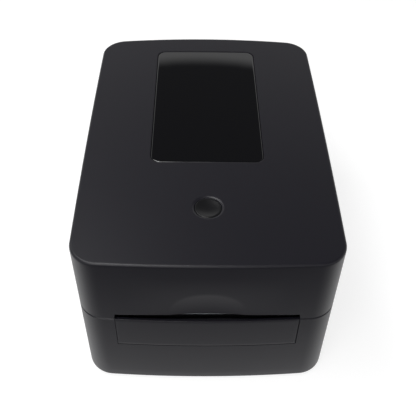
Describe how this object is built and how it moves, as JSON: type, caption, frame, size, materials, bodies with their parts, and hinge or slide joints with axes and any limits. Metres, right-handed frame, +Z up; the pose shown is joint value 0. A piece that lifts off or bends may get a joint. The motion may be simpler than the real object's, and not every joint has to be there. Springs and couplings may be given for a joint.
{
  "type": "thermal label printer",
  "caption": "Desktop clamshell thermal label printer: hinged cover with smoked window and feed button, roll bay with geared holders, platen drive and ribbon mechanism.",
  "frame": {"origin": "on the surface the feet stand on, under the middle of the overall width and depth", "axes": "+X to the right of a person facing the front, the front faces -Y, +Z up"},
  "size_m": [0.2, 0.2951, 0.15],
  "materials": {
    "casing_plastic": "satin moulded ABS, fine grain",
    "window_smoke": "smoked acrylic, polished",
    "button_plastic": "satin moulded ABS",
    "chassis_plastic": "matt moulded ABS",
    "acetal_white": "natural acetal",
    "acetal_black": "black acetal",
    "zinc_steel": "zinc plated sheet",
    "ground_steel": "ground shaft",
    "head_aluminium": "extruded, plain",
    "head_ceramic": "glazed ceramic and board",
    "platen_rubber": "ground silicone rubber",
    "foot_rubber": "moulded",
    "board_green": "solder mask",
    "board_black": "moulded component cases",
    "motor_steel": "black motor case",
    "socket_metal": "tinned shell",
    "spring_steel": "spring wire",
    "switch_plastic": "moulded nylon"
  },
  "bodies": {
    "base": {"base_housing": "casing_plastic", "front_panel": "casing_plastic", "feet": "foot_rubber", "media_chassis": "chassis_plastic", "paper_deck": "chassis_plastic", "side_plate_left": "zinc_steel", "side_plate_right": "zinc_steel", "platen_bush_left": "acetal_white", "platen_bush_right": "acetal_white", "hinge_pin_left": "ground_steel", "hinge_pin_right": "ground_steel", "tear_bar": "zinc_steel", "main_board": "board_green", "board_parts": "board_black", "reduction_pin": "ground_steel", "stepper_motor": "motor_steel", "io_board": "board_green", "dc_inlet": "switch_plastic", "usb_socket": "socket_metal", "power_switch": "switch_plastic"},
    "cover": {"top_cover": "casing_plastic", "cover_window": "window_smoke", "button_board": "board_green", "ribbon_frame": "zinc_steel", "head_pivot": "ground_steel", "idler_pin": "ground_steel"},
    "feed_button": {"feed_button": "button_plastic"},
    "power_rocker": {"power_rocker": "switch_plastic"},
    "holder_left": {"roll_holder_left": "chassis_plastic"},
    "holder_right": {"roll_holder_right": "chassis_plastic"},
    "rack_pinion": {"rack_pinion": "acetal_white"},
    "platen": {"platen_roller": "platen_rubber", "platen_shaft": "ground_steel", "platen_gear": "acetal_white"},
    "reduction": {"reduction_gear": "acetal_white"},
    "motor_rotor": {"motor_shaft": "ground_steel", "motor_pinion": "acetal_black"},
    "ribbon_idler": {"ribbon_idler": "acetal_white"},
    "takeup": {"takeup_spindle": "acetal_black", "takeup_gear": "acetal_white"},
    "supply": {"supply_spindle": "acetal_black"},
    "print_head": {"print_head": "head_ceramic", "heat_sink": "head_aluminium", "head_bracket": "zinc_steel", "head_springs": "spring_steel"},
    "latch": {"latch_shaft": "ground_steel", "latch_hook_left": "acetal_black", "latch_hook_right": "acetal_black"}
  },
  "joints": [
    {"name": "cover_hinge", "type": "hinge", "parent": "base", "child": "cover", "pos_m": [0, 0.1445, 0.0847], "axis": [-1, 0, 0], "range_deg": [0, 85]},
    {"name": "feed_button_press", "type": "slide", "parent": "cover", "child": "feed_button", "axis": [0, 0, -1], "range_m": [0, 0.0012], "stiffness_N_per_m": 500, "springref_m": -0.0006},
    {"name": "power_rocker_tilt", "type": "hinge", "parent": "base", "child": "power_rocker", "pos_m": [-0.066, 0.14308, 0.03], "axis": [0, 0, -1], "range_deg": [0, 16]},
    {"name": "holder_left_slide", "type": "slide", "parent": "base", "child": "holder_left", "axis": [1, 0, 0], "range_m": [0, 0.044]},
    {"name": "holder_right_slide", "type": "slide", "parent": "base", "child": "holder_right", "axis": [-1, 0, 0], "range_m": [0, 0.044]},
    {"name": "rack_pinion_spin", "type": "hinge", "parent": "base", "child": "rack_pinion", "pos_m": [0, 0.0445, 0.01], "axis": [0, 0, 1], "range_deg": [-1, 290]},
    {"name": "platen_spin", "type": "hinge", "parent": "base", "child": "platen", "pos_m": [0, -0.119, 0.0807], "axis": [1, 0, 0], "continuous": true},
    {"name": "reduction_spin", "type": "hinge", "parent": "base", "child": "reduction", "pos_m": [-0.08, -0.107, 0.06316], "axis": [1, 0, 0], "continuous": true},
    {"name": "motor_spin", "type": "hinge", "parent": "base", "child": "motor_rotor", "pos_m": [-0.07, -0.087, 0.04429], "axis": [1, 0, 0], "continuous": true},
    {"name": "ribbon_idler_spin", "type": "hinge", "parent": "cover", "child": "ribbon_idler", "pos_m": [-0.074, -0.11503, 0.10158], "axis": [1, 0, 0], "continuous": true},
    {"name": "takeup_spin", "type": "hinge", "parent": "cover", "child": "takeup", "pos_m": [0, -0.095, 0.1222], "axis": [1, 0, 0], "continuous": true},
    {"name": "supply_spin", "type": "hinge", "parent": "cover", "child": "supply", "pos_m": [0, -0.055, 0.1097], "axis": [1, 0, 0], "continuous": true},
    {"name": "head_lift", "type": "hinge", "parent": "cover", "child": "print_head", "pos_m": [0, -0.095, 0.0962], "axis": [-1, 0, 0], "range_deg": [0, 3], "stiffness_Nm_per_rad": 8, "springref_deg": -5.73, "deforming": ["head_springs"]},
    {"name": "latch_swing", "type": "hinge", "parent": "cover", "child": "latch", "pos_m": [0, -0.127, 0.1057], "axis": [-1, 0, 0], "range_deg": [0, 12], "stiffness_Nm_per_rad": 0.2, "springref_deg": -5.73}
  ],
  "couplings": [
    {"joint": "holder_right_slide", "follows": "holder_left_slide", "ratio": 1},
    {"joint": "rack_pinion_spin", "follows": "holder_left_slide", "rad_per_m": 114.29},
    {"joint": "reduction_spin", "follows": "platen_spin", "ratio": -1.4286},
    {"joint": "motor_spin", "follows": "platen_spin", "ratio": 3.8095},
    {"joint": "ribbon_idler_spin", "follows": "platen_spin", "ratio": -1.4286},
    {"joint": "takeup_spin", "follows": "platen_spin", "ratio": 0.625}
  ]
}
